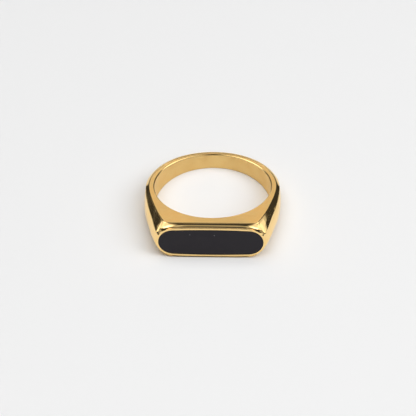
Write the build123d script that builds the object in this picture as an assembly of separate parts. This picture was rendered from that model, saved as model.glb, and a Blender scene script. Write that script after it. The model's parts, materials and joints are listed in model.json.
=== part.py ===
from build123d import *
import os
from math import radians, tan, cos, sin

# Signet ring with a flat bar-shaped head and a flush black inlay. Millimetres.
#
# The ring is drawn in its own ring frame: X runs along the head, -Y points out of the head,
# and Z is the axis of the finger hole. The two side faces lean by side_taper, so that the band
# is widest at the head. At the end every piece is tipped by that angle: the ring then lies on
# its lower side face, at Z = 0, with the axis of the finger hole through the origin.

# ---- Driving dimensions ----
finger_hole_d = 18.2        # about US size 8
side_taper = 4.0            # lean of each side face, degrees
half_width_at_axis = 2.0    # half the band's width, level with the axis of the finger hole
rim_round = 0.2             # polished edge of the finger hole

face_distance = 11.9        # axis of the finger hole to the face of the head
face_length = 16.8
face_height = 5.46
face_end_r = 2.66
face_ease = 0.3             # how far behind the face its edge starts to round over
face_eased = 0.15           # off each end of the face by that
side_land = 0.6             # straight run of the rim past where its end curve starts
end_turn = 38.0             # degrees round the end to the middle of its upper curve

inlay_length = 15.96
inlay_height = 4.76
inlay_end_r = 2.22
pocket_depth = 1.2
glue_thickness = 0.08
inlay_recess = 0.02         # face of the inlay below the face of the head
inlay_clearance = 0.02      # round the edge of the inlay

side_face_front = 10.65     # axis to the straight front edge of each side face
cove_depth = 0.07           # of the shallow cove between the side face and the head's rim
rim_back = 0.08             # crest of the head's rim behind its face

band_outer_r = 10.5         # crown of the band at the back
band_face_r = 9.70          # outer edge of the side faces at the back
band_arris_r = 10.34        # where the rounded edge meets the crown, at the back
band_edge_drop = 0.62       # from the side face down to there
band_bulge = 0.10           # of the rounded edge, beyond a straight bevel
side_bulge = 0.01           # the same at the sides of the ring, where the bevel is nearly flat

# Shoulder stations, from the side of the ring to the corner of the head:
# distance in front of the axis, arris half length, arris height, crown half length
shoulder_stations = [
    (0.0, 10.50, 1.67, 10.72),
    (2.6, 10.33, 1.73, 10.66),
    (5.4, 9.80, 1.63, 10.30),
    (8.2, 9.07, 1.44, 9.62),
    (10.2, 8.58, 1.32, 9.10),
    (11.1, 8.30, 1.30, 8.80),
]
# Half length of each side face at the same stations
side_face_half_lengths = [10.04, 9.74, 9.02, 8.10, 7.22, 6.75]

bore_r = finger_hole_d / 2
lean = tan(radians(side_taper))
spare = 0.6                 # stock above the side faces, which the side faces cut away
bore_spare = 1.0            # stock inside the finger hole, which the hole cuts away
band_step = 30              # degrees between the sections of the band
reach = 14.0                # a length beyond the ring, for the tools that cut it
near = 0.001                # what counts as touching


def side_height(y):
    """Height of the upper side face above the middle of the ring, at a given Y."""
    return half_width_at_axis - y * lean


def oval(length, height, end_r):
    """A bar with round ends and slightly bowed long sides, as a wire in X and Y."""
    end_x = length / 2 - end_r
    side_r = (end_x**2 + (height / 2) ** 2 - end_r**2) / (height - 2 * end_r)
    side_y = height / 2 - side_r
    spoke = (end_x**2 + side_y**2) ** 0.5
    join = Vector(end_x, 0) + Vector(end_x, -side_y) * (end_r / spoke)
    top = ThreePointArc((-join.X, join.Y), (0, height / 2), (join.X, join.Y))
    end = ThreePointArc((join.X, join.Y), (length / 2, 0), (join.X, -join.Y))
    bottom = ThreePointArc((join.X, -join.Y), (0, -height / 2), (-join.X, -join.Y))
    far = ThreePointArc((-join.X, -join.Y), (-length / 2, 0), (-join.X, join.Y))
    return Wire([top, end, bottom, far])


def mirrored_section(plane, top_edge, bevel, crown):
    """A closed section from its upper right quarter: (half length, height) of each corner."""
    upper, arris = top_edge, crown[0]
    right = [
        Line((0, upper[1]), upper),
        bevel,
        ThreePointArc(arris, crown[1], (arris[0], -arris[1])),
    ]
    lower_right = [edge.mirror(Plane.XZ) for edge in reversed(right[:2])]
    half = right + lower_right
    both = half + [edge.mirror(Plane.YZ) for edge in half]
    return plane * Face(Wire(both))


def head_plane(distance):
    """Plane at a distance in front of the axis, drawn with X along the head and Y up."""
    return Plane(origin=(0, -distance, 0), x_dir=(1, 0, 0), z_dir=(0, -1, 0))


def shoulder_section(station, side_half_length):
    """Shoulder stock: the bevel runs on past the side face, to be cut off there."""
    distance, arris_x, arris_z, crown_x = station
    side_z = side_height(-distance)
    slope = (arris_x - side_half_length) / (side_z - arris_z)
    top = (side_half_length - spare * slope, side_z + spare)
    arris = (arris_x, arris_z)
    return mirrored_section(head_plane(distance), top, Line(top, arris), (arris, (crown_x, 0)))


def face_section(distance, length):
    """The head's oval outline, split where the arris and the top edge of the stock meet it."""
    end_x = length / 2 - face_end_r
    arris_z = shoulder_stations[-1][2]
    arris = (end_x + (face_end_r**2 - arris_z**2) ** 0.5, arris_z)
    top = (end_x - side_land, face_height / 2)
    turn = radians(end_turn)
    mid = (end_x + face_end_r * sin(turn), face_end_r * cos(turn))
    bevel = ThreePointArc(top, mid, arris)
    return mirrored_section(head_plane(distance), top, bevel, (arris, (length / 2, 0)))


def band_section(angle):
    """Band stock, on a half plane through the axis: 0 and 180 are the sides, 90 the back."""
    back = sin(radians(angle)) ** 2
    _, side_arris_x, side_arris_z, side_crown_x = shoulder_stations[0]
    face_r = side_face_half_lengths[0] + (band_face_r - side_face_half_lengths[0]) * back
    face_z = side_height(face_r * sin(radians(angle)))
    side_drop = side_height(0) - side_arris_z
    arris_r = side_arris_x + (band_arris_r - side_arris_x) * back
    arris_z = face_z - side_drop - (band_edge_drop - side_drop) * back
    crown_r = side_crown_x + (band_outer_r - side_crown_x) * back
    slope = (arris_r - face_r) / (face_z - arris_z)
    top = (face_r - spare * slope, face_z + spare)
    bulge = side_bulge + (band_bulge - side_bulge) * back
    mid = ((face_r + arris_r) / 2 + bulge, (face_z + arris_z) / 2 + bulge)
    inside = bore_r - bore_spare
    upper = [
        Line((inside, 0), (inside, top[1])),
        Line((inside, top[1]), top),
        Line(top, (face_r, face_z)),
        ThreePointArc((face_r, face_z), mid, (arris_r, arris_z)),
        ThreePointArc((arris_r, arris_z), (crown_r, 0), (arris_r, -arris_z)),
    ]
    lower = [edge.mirror(Plane.XZ) for edge in reversed(upper[:4])]
    plane = Plane.XZ.rotated((0, 0, angle))
    return plane * Face(Wire(upper + lower))


def ring_stock():
    """Shoulders, head and band in one, before the side faces and the holes are cut."""
    shoulders = [
        shoulder_section(*pair) for pair in zip(shoulder_stations, side_face_half_lengths)
    ]
    head = [
        shoulders[-1],
        face_section(face_distance - face_ease, face_length + face_eased),
        face_section(face_distance, face_length - 2 * face_eased),
    ]
    band = [band_section(angle) for angle in range(0, 181, band_step)]
    return loft(shoulders) + loft(head, ruled=True) + loft(band)


def side_cutter():
    """What lies above the upper side face, the cove in front of it and the head's rim."""
    back, front, above = reach, -reach, face_height
    cove_back = -side_face_front
    cove_front = rim_back - face_distance
    cove_mid = (cove_back + cove_front) / 2
    rim_z = face_height / 2
    profile = [
        Line((back, side_height(back)), (cove_back, side_height(cove_back))),
        ThreePointArc(
            (cove_back, side_height(cove_back)),
            (cove_mid, side_height(cove_mid) - cove_depth),
            (cove_front, rim_z),
        ),
        *Polyline((cove_front, rim_z), (front, rim_z), (front, above), (back, above)).edges(),
        Line((back, above), (back, side_height(back))),
    ]
    section = Plane.YZ * Face(Wire(profile))
    return extrude(section, amount=reach, both=True)


def face_slab(outline, outer, inner):
    """An oval slab of the head, between two distances in front of the axis of the finger hole."""
    return extrude(head_plane(inner) * Face(outline), amount=outer - inner, dir=(0, -1, 0))


def ring_body():
    """The one-piece casting: band, shoulders and head, with the pocket for the inlay."""
    cutter = side_cutter()
    body = ring_stock() - cutter - cutter.mirror(Plane.XY)
    body -= Cylinder(bore_r, 2 * reach)
    pocket = oval(inlay_length, inlay_height, inlay_end_r)
    body -= face_slab(pocket, reach, face_distance - pocket_depth)
    rims = body.edges().filter_by(on_finger_hole)
    return fillet(rims, rim_round)


def on_finger_hole(edge):
    """Is this edge a rim of the finger hole?"""
    spots = [edge @ share for share in (0.0, 0.25, 0.5, 0.75, 1.0)]
    return all(abs((spot.X**2 + spot.Y**2) ** 0.5 - bore_r) < near for spot in spots)


def inlay_outline():
    """The inlay fits its pocket with a hairline gap."""
    gap = inlay_clearance
    return oval(inlay_length - 2 * gap, inlay_height - 2 * gap, inlay_end_r - gap)


def black_inlay():
    back = face_distance - pocket_depth + glue_thickness
    return face_slab(inlay_outline(), face_distance - inlay_recess, back)


def inlay_glue():
    back = face_distance - pocket_depth
    return face_slab(inlay_outline(), back + glue_thickness, back)


lie_down = Pos(
    0,
    half_width_at_axis * sin(radians(side_taper)),
    half_width_at_axis * cos(radians(side_taper)),
) * Rot(X=-side_taper)

os.makedirs("parts", exist_ok=True)
for make in (ring_body, black_inlay, inlay_glue):
    piece = lie_down * make()
    piece.label = make.__name__
    export_step(piece, f"parts/{make.__name__}.step")
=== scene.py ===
import json
import math

import bmesh
import bpy
import numpy as np
from mathutils import Matrix, Vector


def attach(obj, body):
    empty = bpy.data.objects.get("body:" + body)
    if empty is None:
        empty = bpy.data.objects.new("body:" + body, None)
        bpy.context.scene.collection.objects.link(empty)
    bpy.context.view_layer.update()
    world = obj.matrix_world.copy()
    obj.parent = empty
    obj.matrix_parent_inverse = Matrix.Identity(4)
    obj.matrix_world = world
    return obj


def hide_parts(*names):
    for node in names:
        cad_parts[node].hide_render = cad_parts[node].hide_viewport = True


# The looks of the signet ring: a fine mesh of the gold body and of the black inlay, their
# materials, and the studio. Shapes are drawn in millimetres in the ring frame, which has X
# along the head, -Y out of the head and Z along the axis of the finger hole, with Z = 0 half way
# across the band. place() takes them to the CAD frame, in metres, where the ring lies on its
# lower side face.

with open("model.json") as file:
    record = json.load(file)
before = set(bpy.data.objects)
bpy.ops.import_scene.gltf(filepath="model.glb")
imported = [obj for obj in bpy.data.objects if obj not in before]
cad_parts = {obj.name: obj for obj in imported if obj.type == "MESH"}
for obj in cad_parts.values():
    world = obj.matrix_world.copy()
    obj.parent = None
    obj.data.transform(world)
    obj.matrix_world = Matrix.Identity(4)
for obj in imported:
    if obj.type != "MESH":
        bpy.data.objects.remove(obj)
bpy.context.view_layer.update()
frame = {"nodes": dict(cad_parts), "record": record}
scene = bpy.context.scene
MM = 0.001


# ---- Sizes read from the frame ----
mounts = {mount["name"]: mount for mount in frame["record"]["mounts"]}
bore_axis = mounts["finger_bore"]["axis"]
side_taper = math.atan2(bore_axis[1], bore_axis[2])
lean = math.tan(side_taper)
bore_r = mounts["finger_bore"]["dims"]["r_mm"]
tip = np.array(Matrix.Rotation(-side_taper, 3, "X"))


def node_spots(node):
    """The corners of a CAD node in the ring frame, but with Z = 0 where the ring rests."""
    mesh = frame["nodes"][node].data
    spots = np.empty(len(mesh.vertices) * 3)
    mesh.vertices.foreach_get("co", spots)
    return spots.reshape(-1, 3) @ tip / MM


body_spots = node_spots("ring_body")
inlay_spots = node_spots("black_inlay")
inlay_low, inlay_high = inlay_spots.min(axis=0), inlay_spots.max(axis=0)
half_width = (inlay_low[2] + inlay_high[2]) / 2      # of the band, level with the axis
face_y = body_spots[:, 1].min()                      # face of the head
inlay_half_length = inlay_high[0]
inlay_half_height = (inlay_high[2] - inlay_low[2]) / 2
inlay_front, inlay_back = inlay_low[1], inlay_high[1]


def place(spots):
    """Ring frame in millimetres to CAD frame in metres."""
    return (np.asarray(spots) + (0, 0, half_width)) @ tip.T * MM


# ---- Sizes of the body, in millimetres ----
inlay_end_r = 2.22
pocket_gap = 0.02
pocket_depth = 1.2
rim_round = 0.20            # polished edge of the finger hole
edge_round = 0.05           # of the other crisp edges
crest_round = 0.08          # of the rim's crest
side_face_front = 10.65     # axis to the straight front edge of each side face
corner_soft = 0.22          # rounding of the side face's front corners
rim_depth = 0.05            # crest of the head's rim behind the face
rim_falls_from = math.radians(27)   # round the axis, where the rim starts to fall back
rim_fall_power = 2.5        # how late it falls
bezel_width = 0.28          # of the flat gold round the inlay
cove_sag = 0.05             # of the hollow between the side face and the middle of the rim
scoop_sag = 0.07            # of the same hollow where it is widest, near the corner
scoop_run = 0.11            # angle over which it ends at the shoulder's facet
lip_width = 0.40            # of the rim's back, which stands up out of the hollow
lip_rise = 0.12
corner_lip_width = 0.20     # the same at the corner
corner_lip_rise = 0.10
corner_x = 8.30             # where arris, rim and flank meet
corner_z = 1.30
corner_back = 0.80          # that corner behind the face
plain_foot = 0.02           # in place of the lip, along the shoulder
band_bevel_pull = 0.8       # of the band's bevel, as a share of the way out to a square corner
mouth_round = 0.025         # edge of the pocket
inlay_edge_round = 0.03

# Half outline of the rim: half length and height
rim_outline = [
    (0.0, 2.73), (3.0, 2.72), (5.2, 2.66), (6.74, 2.34), (7.74, 1.71), (corner_x, corner_z)
]

# Shoulder stations: distance in front of the axis, then half length of the side face, half length
# of the arris, height of the arris, and half length at the crown of the flank.
shoulders = [
    (0.0, 10.04, 10.50, 1.67, 10.72),
    (2.6, 9.74, 10.33, 1.73, 10.66),
    (5.4, 9.02, 9.80, 1.63, 10.30),
    (8.2, 8.10, 9.07, 1.44, 9.62),
    (10.2, 7.22, 8.58, 1.32, 9.10),
    (-face_y - corner_back, 6.75, corner_x, corner_z, 8.80),
]
# The same at the back of the band, without the distance
back_station = (9.70, 10.36, 0.72, 10.50)
SIDE_FACE, ARRIS, ARRIS_HEIGHT, CROWN = 1, 2, 3, 4      # columns of shoulders

# The shoulder's facet ends in a crease, given as shares of the way from the side face down to the
# arris and the angles round the axis there. At left it bounds the scoop. At right the filing went
# further: a second, flatter plane runs up beside the scoop, and full_rise is its crease's height.
left_crease = [(0.0, 0.600), (0.3, 0.642), (0.55, 0.671), (0.7, 0.675), (0.85, 0.650), (1.0, 0.60)]
right_crease = [(0.45, 0.90), (0.53, 0.85), (0.55, 0.80), (0.56, 0.75), (0.57, 0.70), (0.59, 0.66)]
full_rise = 0.025
# The arris as filed by hand, above the one drawn: angles round the axis and heights
left_lift = [(0.66, 0), (0.78, 0.02), (1.05, 0.02), (1.2, 0)]
right_lift = [
    (0.64, 0), (0.67, 0.045), (0.70, 0.05), (0.88, 0.05), (1.02, -0.05), (1.15, -0.05), (1.35, 0)
]

# Angles round the axis where one surface gives way to the next, in radians
second_plane_starts = (0.635, 0.665)    # the second plane of the right shoulder
second_plane_ends = (0.84, 0.95)
scoop_opens = (0.30, 0.52)              # the cove deepens to the scoop
right_scoop_end = 0.72
lip_narrows_from = 0.50
lip_end_run = 0.02                      # the lip ends over this, just before the corner
flank_lead_run = 0.20                   # the face's edge turns to meet the flank over this
shoulder_end = 1.2                      # the shoulder becomes the band
band_bevel = (1.5, 2.6)                 # the bevel swells to the band's rounded edge
back_turns = np.radians(np.arange(105, 181, 15))    # the band's sections behind its sides
close_columns = (0.42, 0.80)            # the mesh is finer between these, round the corner
small_turn = 0.01                       # for the direction of a surface
least_cosine = 0.3                      # keeps the side face's front line within reach

POLISHED, SATIN = 0, 1
RIGHT, LEFT = "right", "left"


# ---- Curve helpers ----
def smooth(low, high, x):
    """0 below low, 1 above high, and an S between."""
    t = np.clip((x - low) / (high - low), 0, 1)
    return t * t * (3 - 2 * t)


def mix(a, b, t):
    return a + (b - a) * t


def spline(xs, ys, x):
    """A cubic spline through (xs, ys), straight before its first point and level at its last."""
    xs, ys, x = np.asarray(xs, float), np.asarray(ys, float), np.asarray(x, float)
    n, h = len(xs), np.diff(xs)
    a, b = np.zeros((n, n)), np.zeros(n)
    a[0, 0] = 1
    for i in range(1, n - 1):
        a[i, i - 1:i + 2] = h[i - 1], 2 * (h[i - 1] + h[i]), h[i]
        b[i] = 6 * ((ys[i + 1] - ys[i]) / h[i] - (ys[i] - ys[i - 1]) / h[i - 1])
    a[-1, -2:] = h[-1], 2 * h[-1]
    b[-1] = -6 * (ys[-1] - ys[-2]) / h[-1]
    m = np.linalg.solve(a, b)
    i = np.clip(np.searchsorted(xs, x) - 1, 0, n - 2)
    inside = np.maximum(x, xs[0])
    u, v = inside - xs[i], xs[i + 1] - inside
    first_slope = (ys[1] - ys[0]) / h[0] - m[1] * h[0] / 6
    return (
        (m[i] * v**3 + m[i + 1] * u**3) / (6 * h[i])
        + (ys[i] / h[i] - m[i] * h[i] / 6) * v
        + (ys[i + 1] / h[i] - m[i + 1] * h[i] / 6) * u
        + first_slope * (x - inside)
    )


def bend(a, b, c, t):
    """A point on the quadratic curve from a to c that b pulls on."""
    return (1 - t) ** 2 * a + 2 * t * (1 - t) * b + t * t * c


def unit(v):
    return v / np.linalg.norm(v, axis=-1, keepdims=True)


def polar(theta, r, z):
    """theta is measured round the axis of the finger hole from the middle of the head."""
    return np.stack(np.broadcast_arrays(r * np.sin(theta), -r * np.cos(theta), z), axis=-1)


def side_height(y):
    return half_width - y * lean


def onto_side_face(theta, r):
    return polar(theta, r, side_height(-r * np.cos(theta)))


# ---- Rails round the right half of the ring ----
def stations(column):
    """A shoulder column, and its run round the back, as angle and distance from the axis."""
    x = np.array([row[column] for row in shoulders])
    ahead = np.array([row[0] for row in shoulders])
    back = np.cos(back_turns) ** 2
    radius = mix(x[0], back_station[column - 1], back)
    angles = np.concatenate([np.arctan2(x, ahead)[::-1], back_turns])
    return angles, np.concatenate([np.hypot(x, ahead)[::-1], radius])


def arris_heights():
    """The arris's height, as angle and height above the middle of the band."""
    angles, _ = stations(ARRIS)
    side, back_face, back_arris = shoulders[0], back_station[SIDE_FACE - 1], back_station[ARRIS_HEIGHT - 1]
    side_drop = side_height(0) - side[ARRIS_HEIGHT]
    back_drop = side_height(back_face) - back_arris
    back = np.cos(back_turns) ** 2
    drop = mix(side_drop, back_drop, back)
    face_r = mix(side[SIDE_FACE], back_face, back)
    heights = side_height(-face_r * np.cos(back_turns)) - drop
    return angles, np.concatenate([[row[ARRIS_HEIGHT] for row in shoulders][::-1], heights])


corner_angle = math.atan2(corner_x, shoulders[-1][0])
crown_lead = math.atan2(shoulders[-1][CROWN], shoulders[-1][0]) - corner_angle


def side_edge(theta):
    """Outer edge of the side face: straight across the front, then back along the shoulder."""
    front = side_face_front / np.maximum(np.cos(theta), least_cosine)
    side = spline(*stations(SIDE_FACE), theta)
    k = corner_soft
    rounded_corner = -k * np.logaddexp(-front / k, -side / k)
    return onto_side_face(theta, np.where(theta < shoulder_end, rounded_corner, side))


def beside_scoop(theta):
    """1 along the right shoulder's second plane, and 0 beyond it."""
    return smooth(*second_plane_starts, theta) * (1 - smooth(*second_plane_ends, theta))


def arris(theta, side):
    """The edge between bevel and flank, as filed at that side."""
    lift = np.interp(theta, *zip(*(right_lift if side == RIGHT else left_lift)))
    return polar(theta, spline(*stations(ARRIS), theta), spline(*arris_heights(), theta) + lift)


def rim(theta):
    """Crest of the head's rim, which falls back from the face towards the corner."""
    share = np.clip((theta - rim_falls_from) / (corner_angle - rim_falls_from), 0, 1)
    y = face_y + mix(rim_depth, corner_back, share**rim_fall_power)
    x = -y * np.tan(theta)
    lengths, heights = zip(*rim_outline)
    from_corner = [corner_x - length for length in reversed(lengths)]
    z = spline(from_corner, heights[::-1], corner_x - x)
    return np.stack([x, y, z], axis=-1)


def crown(theta, share, side):
    """The flank, from the arris at share 0 to the middle of the band's width at share 1."""
    top = arris(theta, side)
    r_top, z_top = np.hypot(top[..., 0], top[..., 1]), top[..., 2]
    lead = crown_lead * (1 - smooth(corner_angle, shoulder_end, theta))
    r_mid = spline(*stations(CROWN), theta + lead)
    rise = r_mid - r_top
    radius = (rise**2 + z_top**2) / (2 * rise)
    turn = np.arcsin(z_top / radius) * (1 - share)
    return polar(theta + lead * share, r_mid - radius * (1 - np.cos(turn)), radius * np.sin(turn))


# ---- The body's mesh: a quarter of it, above the middle and at right, is drawn and mirrored ----
def rounded(before, edge, after, radius, steps=4):
    """Rows over a crisp edge, with a narrow support row at each side."""
    back, ahead = unit(before - edge), unit(after - edge)
    turn = [bend(edge + back * radius, edge, edge + ahead * radius, t)
            for t in np.linspace(0, 1, steps)]
    return [edge + back * radius * 2, *turn, edge + ahead * radius * 2]


def between(start, stop, count):
    """Shares that divide start to stop, without the two ends."""
    return np.linspace(start, stop, count + 2)[1:-1]


def bevel(theta, edge, top):
    """The bevel from side face to rim or arris: its pull, foot and knee, and the way out of it."""
    outward = polar(theta, 1, 0)
    chord = top - edge
    run = (chord * outward).sum(axis=-1, keepdims=True)
    square = unit(outward * -chord[..., 2:] + run * (0, 0, 1))
    ahead = 1 - smooth(corner_angle - lip_end_run, corner_angle, theta)[:, None]
    near_corner = smooth(lip_narrows_from, corner_angle, theta)[:, None]
    width = mix(plain_foot, mix(lip_width, corner_lip_width, near_corner), ahead)
    rise = mix(lip_rise, corner_lip_rise, near_corner) * ahead
    up = unit(edge - top)
    foot = top + up * width - square * rise
    knee = top + up * width / 2 - square * rise
    behind = smooth(*band_bevel, theta)
    middle = (edge + foot) / 2
    shoulder = np.stack([top[..., 0], top[..., 1], edge[..., 2]], axis=-1)
    pull = middle + band_bevel_pull * behind[:, None] * (shoulder - middle)
    return pull, foot, knee, square


def relief(theta, share, side):
    """Height of the bevel above its plain curve, at a share of the way from side face to top."""
    if side == LEFT:
        end = np.interp(share, *zip(*left_crease))
        rise = 0
    else:
        end = right_scoop_end
        crest = crest_share(theta)
        tent = np.minimum(share / crest, (1 - share) / np.maximum(1 - crest, 0.05))
        rise = full_rise * tent * beside_scoop(theta)
    opening = smooth(*scoop_opens, theta)
    sag = mix(cove_sag, scoop_sag, opening) * np.clip((end - theta) / scoop_run, 0, 1)
    return (rise - 4 * share * (1 - share) * sag)[:, None]


def crest_share(theta):
    """Where the right crease lies, as a share of the way down the bevel."""
    shares, angles = zip(*right_crease[::-1])
    return np.interp(theta, angles, shares)


def side_and_turn(x, z, centre):
    """Place on an outline: its share of the half side, then of the quarter turn at the end."""
    angle = np.arctan2(z, np.maximum(x - centre, 0))
    return np.clip(x / centre, 0, 1), np.where(x > centre, 1 - angle / (math.pi / 2), 0)


def four_centre_oval(place_on, half_length, half_height, end_r):
    """Length and height of a bar with round ends and slightly bowed sides, at places on it."""
    share, turn = place_on
    centre = half_length - end_r
    side_r = (centre**2 + half_height**2 - end_r**2) / (2 * (half_height - end_r))
    x = share * centre * side_r / (side_r - end_r)
    side_z = half_height - side_r + np.sqrt(side_r**2 - x**2)
    angle = (1 - turn) * math.atan2(side_r - half_height, centre)
    return (
        np.where(turn > 0, centre + end_r * np.cos(angle), x),
        np.where(turn > 0, end_r * np.sin(angle), side_z),
    )


def on_face(outline, behind=0):
    return np.stack([outline[0], np.full_like(outline[0], face_y + behind), outline[1]], axis=-1)


class Patchwork:
    """Grids of points that become one mesh, welded where they meet."""

    def __init__(self):
        self.points, self.faces, self.finish = [], [], []

    def add(self, rows, finishes):
        """rows run across the surface; finishes gives the material between each row and the next."""
        grid = np.stack(rows)
        start = sum(len(p) for p in self.points)
        count = grid.shape[1]
        self.points.append(grid.reshape(-1, 3))
        for i, finish in enumerate(finishes):
            for j in range(count - 1):
                a = start + i * count + j
                self.faces.append((a, a + 1, a + count + 1, a + count))
                self.finish.append(finish)


def build(name, right, left):
    """One piece from its upper right and upper left quarters, welded, with normals outward."""
    mesh = bmesh.new()
    for quarter, flip in (
        (right, (1, 1, 1)), (left, (-1, 1, 1)), (right, (1, 1, -1)), (left, (-1, 1, -1))
    ):
        points = np.concatenate(quarter.points)
        corners = [mesh.verts.new(spot) for spot in place(points * flip)]
        for face, finish in zip(quarter.faces, quarter.finish):
            made = mesh.faces.new([corners[i] for i in face])
            made.material_index = finish
            made.smooth = True
    bmesh.ops.remove_doubles(mesh, verts=mesh.verts, dist=1e-7)
    bmesh.ops.dissolve_degenerate(mesh, edges=mesh.edges, dist=1e-7)
    bmesh.ops.recalc_face_normals(mesh, faces=mesh.faces)
    data = bpy.data.meshes.new(name)
    mesh.to_mesh(data)
    mesh.free()
    piece = bpy.data.objects.new(name, data)
    scene.collection.objects.link(piece)
    return piece


def mesh_columns():
    """The angles of the body's columns, from the middle of the head round to the back."""
    stops = (0, close_columns[0], corner_angle, close_columns[1], shoulder_end, math.pi)
    counts = (30, 36, 26, 16, 70)
    runs = [np.linspace(a, b, count)[1:] for a, b, count in zip(stops, stops[1:], counts)]
    return np.concatenate([stops[:1], *runs])


def gold_quarter(side):
    """The upper quarter of the body at one side, drawn as if at right."""
    work = Patchwork()
    theta = mesh_columns()
    ahead = theta <= corner_angle
    last = np.count_nonzero(ahead) - 1

    top = np.where(ahead[:, None], rim(theta), arris(theta, side))
    near = np.minimum(np.abs(theta - corner_angle) / math.radians(2), 1)[:, None]
    soft = np.where(ahead, crest_round, edge_round)[:, None] * near

    # Where the surface goes beyond the rim or the arris
    shares = np.concatenate([[0.05], np.linspace(0.1, 1, 15)])
    flank = [crown(theta, share, side) for share in shares]
    flank_way = unit(crown(theta, 0, side) - crown(theta + small_turn, 0, side))
    forward = flank_way * ((face_y - top[:, 1]) / flank_way[:, 1])[:, None]
    straight = np.stack([0 * theta, face_y - top[:, 1], 0 * theta], axis=-1)
    lead = smooth(corner_angle - flank_lead_run, corner_angle, theta)[:, None]
    rim_pull = top + mix(straight, forward, lead)
    after = np.where(ahead[:, None], rim_pull, flank[0])

    # Bore, side face, bevel and rim
    bore_top = onto_side_face(theta, bore_r)
    bore_middle = polar(theta, bore_r, 0)
    edge = side_edge(theta)
    pull, foot, knee, out = bevel(theta, edge, top)
    bore_rows = [mix(bore_middle, bore_top, share) for share in np.linspace(0, 0.6, 5)]
    rim_steps = 7
    rows = bore_rows + rounded(bore_middle, bore_top, edge, rim_round, rim_steps)
    rows += [mix(rows[-1], edge, share) for share in between(0, 1, 4)]
    edge_rows = rounded(bore_top, edge, pull, edge_round)
    top_rows = rounded(knee, top, after, soft)
    rows += edge_rows
    satin_end = len(rows) - len(edge_rows)
    rows += [
        bend(edge_rows[-1], pull, foot, t) + out * relief(theta, t, side) for t in between(0, 1, 18)
    ]
    rows += [bend(foot, knee, top_rows[0], t) for t in np.linspace(0, 1, 7)[:-1]]
    rows += top_rows
    finishes = [SATIN] * (len(bore_rows) + 1) + [POLISHED] * (rim_steps - 1)
    finishes += [SATIN] * (satin_end - len(finishes))
    finishes += [POLISHED] * (len(rows) - 1 - len(finishes))
    work.add(rows, finishes)

    # Flanks
    rows = [top_rows[-1][last:]] + [row[last:] for row in flank[1:]]
    work.add(rows, [POLISHED] * (len(rows) - 1))

    # Head: in from the rim and from the flank's front end
    def flank_front(angle):
        return np.array([crown(np.array(angle), share, side) for share in shares[1:]])

    turned = flank_front(corner_angle)
    way = unit(turned - flank_front(corner_angle + small_turn))
    turned_pull = turned + way * ((face_y - turned[:, 1]) / way[:, 1])[:, None]
    outer = np.concatenate([top_rows[-1][:last + 1], turned])
    outer_pull = np.concatenate([rim_pull[:last + 1], turned_pull])
    oval = np.array([inlay_half_length, inlay_half_height, inlay_end_r])
    place_on = side_and_turn(outer[:, 0], outer[:, 2], oval[0] - oval[2])
    bezel = on_face(four_centre_oval(place_on, *(oval + bezel_width)))
    pocket = oval + pocket_gap
    mouth = on_face(four_centre_oval(place_on, *pocket))
    floor = mouth + (0, pocket_depth, 0)
    spine = floor * (1, 1, 0)
    spine[:, 0] = np.minimum(spine[:, 0], pocket[0] - pocket[2])
    rows = [bend(outer, outer_pull, bezel, t) for t in np.linspace(0, 1, 9)]
    rows += [mix(bezel, mouth, 0.3)]
    rows += rounded(bezel, mouth, floor, mouth_round, 3)
    rows += [floor, spine]
    work.add(rows, [POLISHED] * (len(rows) - 1))
    return work


def inlay_piece():
    """The black inlay, a slab with eased edges."""
    work = Patchwork()
    share = np.concatenate([np.linspace(0, 1, 40), np.ones(40)])
    turn = np.concatenate([np.zeros(40), np.linspace(0, 1, 41)[1:]])
    outline = four_centre_oval((share, turn), inlay_half_length, inlay_half_height, inlay_end_r)
    front = on_face(outline, inlay_front - face_y)
    back = on_face(outline, inlay_back - face_y)
    spine_x = np.minimum(outline[0], inlay_half_length - inlay_end_r)
    spine = np.stack([spine_x, front[:, 1], 0 * spine_x], axis=-1)
    spine_back = np.stack([spine_x, back[:, 1], 0 * spine_x], axis=-1)
    rows = [mix(spine, front, share) for share in (0, 0.35, 0.7, 0.9)]
    rows += rounded(spine, front, back, inlay_edge_round, 4)
    rows += [mix(front, back, 0.6)]
    rows += rounded(front, back, spine_back, inlay_edge_round, 3)
    rows += [spine_back]
    work.add(rows, [0] * (len(rows) - 1))
    return build("inlay_slab", work, work)


body = build("gold_body", gold_quarter(RIGHT), gold_quarter(LEFT))
inlay = inlay_piece()


# ---- Studio ----
camera_aim = (-0.66, -3.17, 2.23)   # mm
camera_distance = 240               # mm
camera_turns = (2.11, 41.48, 0.79)  # azimuth, elevation and roll, in degrees
camera_lens = 133.2                 # mm, on a sensor 36 mm wide


def make_camera():
    """Looks down at the ring from in front of its head."""
    aim = Vector(camera_aim) * MM
    azimuth, elevation, roll = map(math.radians, camera_turns)
    distance = camera_distance * MM
    back = Vector((
        math.sin(azimuth) * math.cos(elevation),
        -math.cos(azimuth) * math.cos(elevation),
        math.sin(elevation),
    ))
    right = Vector((0, 0, 1)).cross(back).normalized()
    up = back.cross(right)
    turned = math.cos(roll) * right - math.sin(roll) * up
    up = back.cross(turned)
    data = bpy.data.cameras.new("camera")
    data.sensor_width = 36
    data.lens = camera_lens
    data.clip_start = 0.01
    camera = bpy.data.objects.new("camera", data)
    rotation = Matrix((turned, up, back)).transposed()
    camera.matrix_world = Matrix.Translation(aim + back * distance) @ rotation.to_4x4()
    scene.collection.objects.link(camera)
    scene.camera = camera


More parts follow.
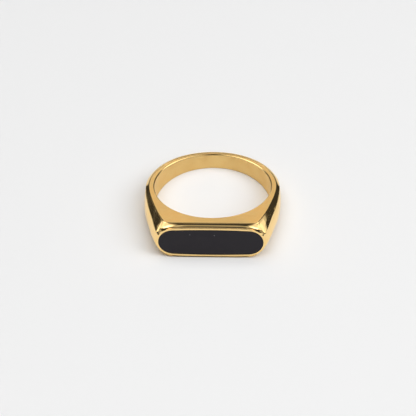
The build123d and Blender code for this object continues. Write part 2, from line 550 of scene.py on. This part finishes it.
def area_light(name, azimuth, elevation, distance, size, power):
    """A square lamp aimed at the ring; azimuth turns from the front, -Y, towards +X."""
    data = bpy.data.lights.new(name, "AREA")
    data.shape = "RECTANGLE"
    data.size = size
    data.size_y = size
    data.energy = power
    light = bpy.data.objects.new(name, data)
    a, e = math.radians(azimuth), math.radians(elevation)
    back = Vector((math.sin(a) * math.cos(e), -math.cos(a) * math.cos(e), math.sin(e)))
    light.location = back * distance
    light.rotation_mode = "QUATERNION"
    light.rotation_quaternion = back.to_track_quat("Z", "Y")
    scene.collection.objects.link(light)
    return light


# ---- Materials ----
def node(tree, kind, inputs=None, **settings):
    """A shader node; inputs take a number, a colour or another node's socket."""
    made = tree.nodes.new("ShaderNode" + kind)
    for name, value in settings.items():
        setattr(made, name, value)
    for key, value in (inputs or {}).items():
        if isinstance(value, bpy.types.NodeSocket):
            tree.links.new(value, made.inputs[key])
        else:
            made.inputs[key].default_value = value
    return made


def sums(tree, operation, *values):
    return node(tree, "Math", dict(enumerate(values)), operation=operation).outputs[0]


def remap(tree, value, low, high, to_low, to_high):
    ends = {"From Min": low, "From Max": high, "To Min": to_low, "To Max": to_high}
    return node(tree, "MapRange", {"Value": value, **ends}).outputs[0]


def noise(tree, where, scale, detail=2.0, roughness=0.5):
    inputs = {"Vector": where, "Scale": scale, "Detail": detail, "Roughness": roughness}
    return node(tree, "TexNoise", inputs).outputs["Fac"]


def blend_colors(tree, share, first, second):
    """A colour between two, each of them a fixed colour or another node's output."""
    mixer = node(tree, "Mix", data_type="RGBA")
    slots = [socket for socket in mixer.inputs if socket.enabled]
    tree.links.new(share, slots[0])
    for slot, color in zip(slots[1:], (first, second)):
        if isinstance(color, tuple):
            slot.default_value = (*color, 1)
        else:
            tree.links.new(color, slot)
    return next(socket for socket in mixer.outputs if socket.enabled)


def new_material(name):
    material = bpy.data.materials.new(name)
    material.use_nodes = True
    return material, material.node_tree, material.node_tree.nodes["Principled BSDF"]


def in_mm(tree):
    """Object coordinates in millimetres."""
    coordinates = node(tree, "TexCoord").outputs["Object"]
    scaled = node(tree, "VectorMath", {0: coordinates, "Scale": 1 / MM}, operation="SCALE")
    return scaled.outputs[0]


def distance_from_axis(tree, x, y):
    squares = sums(tree, "MULTIPLY", x, x), sums(tree, "MULTIPLY", y, y)
    return sums(tree, "SQRT", sums(tree, "ADD", *squares))


def grain_round_axis(tree, spot, fine, coarse):
    """Coordinates that stretch a noise along the circles round the finger hole."""
    parts = node(tree, "SeparateXYZ", {0: spot}).outputs
    radius = distance_from_axis(tree, parts[0], parts[1])
    turn = sums(tree, "ARCTAN2", parts[0], parts[1])
    return node(tree, "CombineXYZ", {
        0: sums(tree, "MULTIPLY", radius, fine),
        1: sums(tree, "MULTIPLY", parts[2], fine),
        2: sums(tree, "MULTIPLY", turn, coarse),
    }).outputs[0]


painted_shade_inside_gold = (0.84, 0.60, 0.25)    # painted shade: a duller gold painted on the walls of the finger hole, in place of how light falls there
painted_shade_until = (9.4, 9.6)             # mm from the axis, over which that painted shade ends
upright_until = (0.3, 0.8)          # how far a surface may face up and still count as a wall
worn_edges = (0.52, 0.60)           # pointiness over which an edge grows rougher


def gold(name, color, deep, rough, grain_height, brushed):
    """Gold: edges a little rougher, a fine grain, a slow change of colour and polish, and painted shade in
    the finger hole.
    """
    material, tree, shader = new_material(name)
    spot = in_mm(tree)
    patches = noise(tree, spot, 0.45, 3.0)
    specks = noise(tree, spot, 9.0, 4.0, 0.7)
    circles = noise(tree, grain_round_axis(tree, spot, 7.0, 5.0), 1.0, 4.0, 0.65)
    swirls = noise(tree, grain_round_axis(tree, spot, 22.0, 16.0), 1.0, 2.0)
    deeper = remap(tree, sums(tree, "ADD", patches, circles), 0.7, 1.3, 0, 1)
    tone = blend_colors(tree, deeper, color, deep)
    x, y, _ = node(tree, "SeparateXYZ", {0: spot}).outputs
    normal = node(tree, "NewGeometry").outputs["Normal"]
    facing_up = node(tree, "SeparateXYZ", {0: normal}).outputs[2]
    upright = remap(tree, sums(tree, "ABSOLUTE", facing_up), *upright_until, 1, 0)
    near_axis = remap(tree, distance_from_axis(tree, x, y), *painted_shade_until, 1, 0)
    inside = sums(tree, "MULTIPLY", upright, near_axis)
    # painted shade: the walls of the finger hole get the duller gold
    tree.links.new(blend_colors(tree, inside, tone, painted_shade_inside_gold), shader.inputs["Base Color"])
    shader.inputs["Metallic"].default_value = 1
    worn = remap(tree, node(tree, "NewGeometry").outputs["Pointiness"], *worn_edges, 0, 0.05)
    hazy = remap(tree, sums(tree, "ADD", patches, specks), 0.75, 1.25, 0.8 * rough, 1.25 * rough)
    tree.links.new(sums(tree, "ADD", hazy, worn), shader.inputs["Roughness"])
    height = sums(tree, "ADD", sums(tree, "ADD", circles, swirls), sums(tree, "MULTIPLY", specks, 0.6))
    bump = node(tree, "Bump", {"Height": height, "Strength": 1.0, "Distance": grain_height * MM})
    tree.links.new(bump.outputs[0], shader.inputs["Normal"])
    if brushed:
        behind = sums(tree, "MULTIPLY", sums(tree, "MAXIMUM", y, 0.0), sums(tree, "SIGN", x))
        beside = sums(tree, "ADD", sums(tree, "ABSOLUTE", x), 0.5)
        along = {0: sums(tree, "MULTIPLY", behind, -1.0), 1: beside, 2: 0.0}
        tree.links.new(node(tree, "CombineXYZ", along).outputs[0], shader.inputs["Tangent"])
        shader.inputs["Anisotropic"].default_value = brushed
    return material


def black_resin():
    """Satin black filling, with fine polishing marks and a few specks of dust."""
    material, tree, shader = new_material("black_inlay")
    spot = in_mm(tree)
    cloud = noise(tree, spot, 0.6, 3.0)
    fine = noise(tree, spot, 14.0, 3.0, 0.6)
    cells = node(tree, "TexVoronoi", {"Vector": spot, "Scale": 0.55}).outputs["Distance"]
    dust = remap(tree, cells, 0.03, 0.05, 1, 0)
    dark = blend_colors(tree, cloud, (0.009, 0.0066, 0.0105), (0.013, 0.0100, 0.0145))
    color = blend_colors(tree, dust, dark, (0.16, 0.15, 0.16))
    tree.links.new(color, shader.inputs["Base Color"])
    tree.links.new(remap(tree, fine, 0.3, 0.7, 0.42, 0.56), shader.inputs["Roughness"])
    bump = node(tree, "Bump", {"Height": fine, "Strength": 1.0, "Distance": 0.0006 * MM})
    tree.links.new(bump.outputs[0], shader.inputs["Normal"])
    shader.inputs["Specular IOR Level"].default_value = 0.3
    return material


def cured_glue():
    """Clear amber adhesive, seen only if the inlay is lifted."""
    material, tree, shader = new_material("cured_glue")
    spot = in_mm(tree)
    flow = noise(tree, spot, 1.4, 3.0)
    tone = blend_colors(tree, flow, (0.20, 0.15, 0.08), (0.32, 0.26, 0.16))
    tree.links.new(tone, shader.inputs["Base Color"])
    tree.links.new(remap(tree, flow, 0.3, 0.7, 0.25, 0.5), shader.inputs["Roughness"])
    bump = node(tree, "Bump", {"Height": flow, "Strength": 1.0, "Distance": 0.01 * MM})
    tree.links.new(bump.outputs[0], shader.inputs["Normal"])
    return material


def paper():
    """The pale sheet that the ring lies on."""
    material, tree, shader = new_material("paper")
    spot = in_mm(tree)
    fibres = noise(tree, spot, 1.2, 4.0)
    tone = blend_colors(tree, fibres, (0.80, 0.80, 0.80), (0.81, 0.81, 0.81))
    tree.links.new(tone, shader.inputs["Base Color"])
    tree.links.new(remap(tree, fibres, 0.3, 0.7, 0.7, 0.8), shader.inputs["Roughness"])
    shader.inputs["Specular IOR Level"].default_value = 0.2
    return material


for finish in (
    ("polished_gold", (1.0, 0.72, 0.32), (0.99, 0.68, 0.28), 0.07, 0.00008, 0),
    ("satin_gold", (0.98, 0.66, 0.26), (0.92, 0.59, 0.21), 0.55, 0.0012, 0.5),
):
    body.data.materials.append(gold(*finish))
inlay.data.materials.append(black_resin())
for piece, name, slot in ((body, "ring_body", "gold"), (inlay, "black_inlay", "black_stone")):
    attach(piece, "root")
    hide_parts(name)
glue = frame["nodes"]["inlay_glue"].data
glue.materials.clear()
glue.materials.append(cured_glue())

bpy.ops.mesh.primitive_plane_add(size=3)
floor = bpy.context.object
floor.name = "floor"
floor.data.materials.append(paper())
make_camera()


# ---- Light ----
# The gold mirrors soft panels that only reflections see: brightness, then limits in degrees, each
# with the softness of its edges. The lamps, below, light only what scatters light, such as the
# floor and the inlay. "around" turns from the back, +Y, towards +X; "across", "along"
# and "up" are heights towards +X, +Y and +Z.
dark_studio = 0.04
panels = [
    (0.38, [("around", -14, 14, 5), ("up", 35, 61, 5)]),
    (0.75, [("around", -50, -5.5, 3), ("up", 33, 54, 6)]),
    (0.70, [("around", 6, 50, 3), ("up", 33, 54, 6)]),
    (1.8, [("around", -70, -20, 12), ("up", 38, 70, 10)]),
    (1.8, [("around", 20, 70, 12), ("up", 38, 70, 10)]),
    (2.8, [("across", -90, -14, 22), ("along", -5, 90, 14), ("up", 35, 88, 9)]),
    (2.8, [("across", 14, 90, 22), ("along", 8, 90, 16), ("up", 36, 88, 8)]),
    (1.1, [("across", -90, -10, 14), ("along", -75, 10, 10), ("up", 38, 88, 8)]),
    (1.0, [("across", 10, 90, 14), ("along", -75, 10, 10), ("up", 30, 88, 8)]),
    (1.3, [("around", -115, -63, 4), ("up", 13, 60, 7)]),
    (1.35, [("around", 68, 100, 6), ("up", 12, 60, 8)]),
    (1.1, [("around", 57.5, 100, 3), ("up", 11, 60, 4)]),
    (0.42, [("around", -135, -60.5, 1.5), ("up", 6.5, 14, 2)]),
    (0.66, [("around", 54.5, 110, 1.5), ("up", 8, 14, 1.5)]),
    (0.8, [("around", -60, -42, 2), ("up", 10, 15.5, 1.5)]),
    (0.75, [("around", -20, 14, 8), ("up", 4, 21, 4)]),
]


def sky():
    """A dark studio with soft white panels, seen only in reflections."""
    world = bpy.data.worlds.new("studio")
    scene.world = world
    world.use_nodes = True
    world.cycles_visibility.diffuse = False
    tree = world.node_tree
    direction = node(tree, "SeparateXYZ", {0: node(tree, "TexCoord").outputs["Generated"]})
    x, y, z = direction.outputs
    angles = {
        "around": sums(tree, "ARCTAN2", x, y),
        "across": sums(tree, "ARCSINE", x),
        "along": sums(tree, "ARCSINE", y),
        "up": sums(tree, "ARCSINE", z),
    }

    def band(angle, low, high, soft):
        """1 from low to high, in degrees, and 0 outside, with soft edges."""
        middle, half = math.radians((low + high) / 2), math.radians((high - low) / 2)
        off = sums(tree, "ABSOLUTE", sums(tree, "SUBTRACT", angles[angle], middle))
        inner, outer = half - math.radians(soft) / 2, half + math.radians(soft) / 2
        edge = node(tree, "MapRange", {"Value": off}, interpolation_type="SMOOTHSTEP")
        for key, value in {"From Min": inner, "From Max": outer, "To Min": 1.0, "To Max": 0.0}.items():
            edge.inputs[key].default_value = value
        return edge.outputs[0]

    light = dark_studio
    for brightness, limits in panels:
        panel = brightness
        for angle, low, high, soft in limits:
            panel = sums(tree, "MULTIPLY", band(angle, low, high, soft), panel)
        light = sums(tree, "MAXIMUM", panel, light)
    background = tree.nodes["Background"]
    tree.links.new(light, background.inputs["Strength"])
    background.inputs["Color"].default_value = (1, 1, 1, 1)


sky()
for name, azimuth, elevation, distance, size, power in (
    ("key", 75, 45, 1.2, 0.8, 8.2),
    ("fill", 5, 45, 1.0, 0.8, 2.25),
    ("overhead", -90, 85, 0.8, 0.9, 5.3),
):
    area_light(name, azimuth, elevation, distance, size, power).visible_glossy = False
scene.view_settings.view_transform = "Standard"
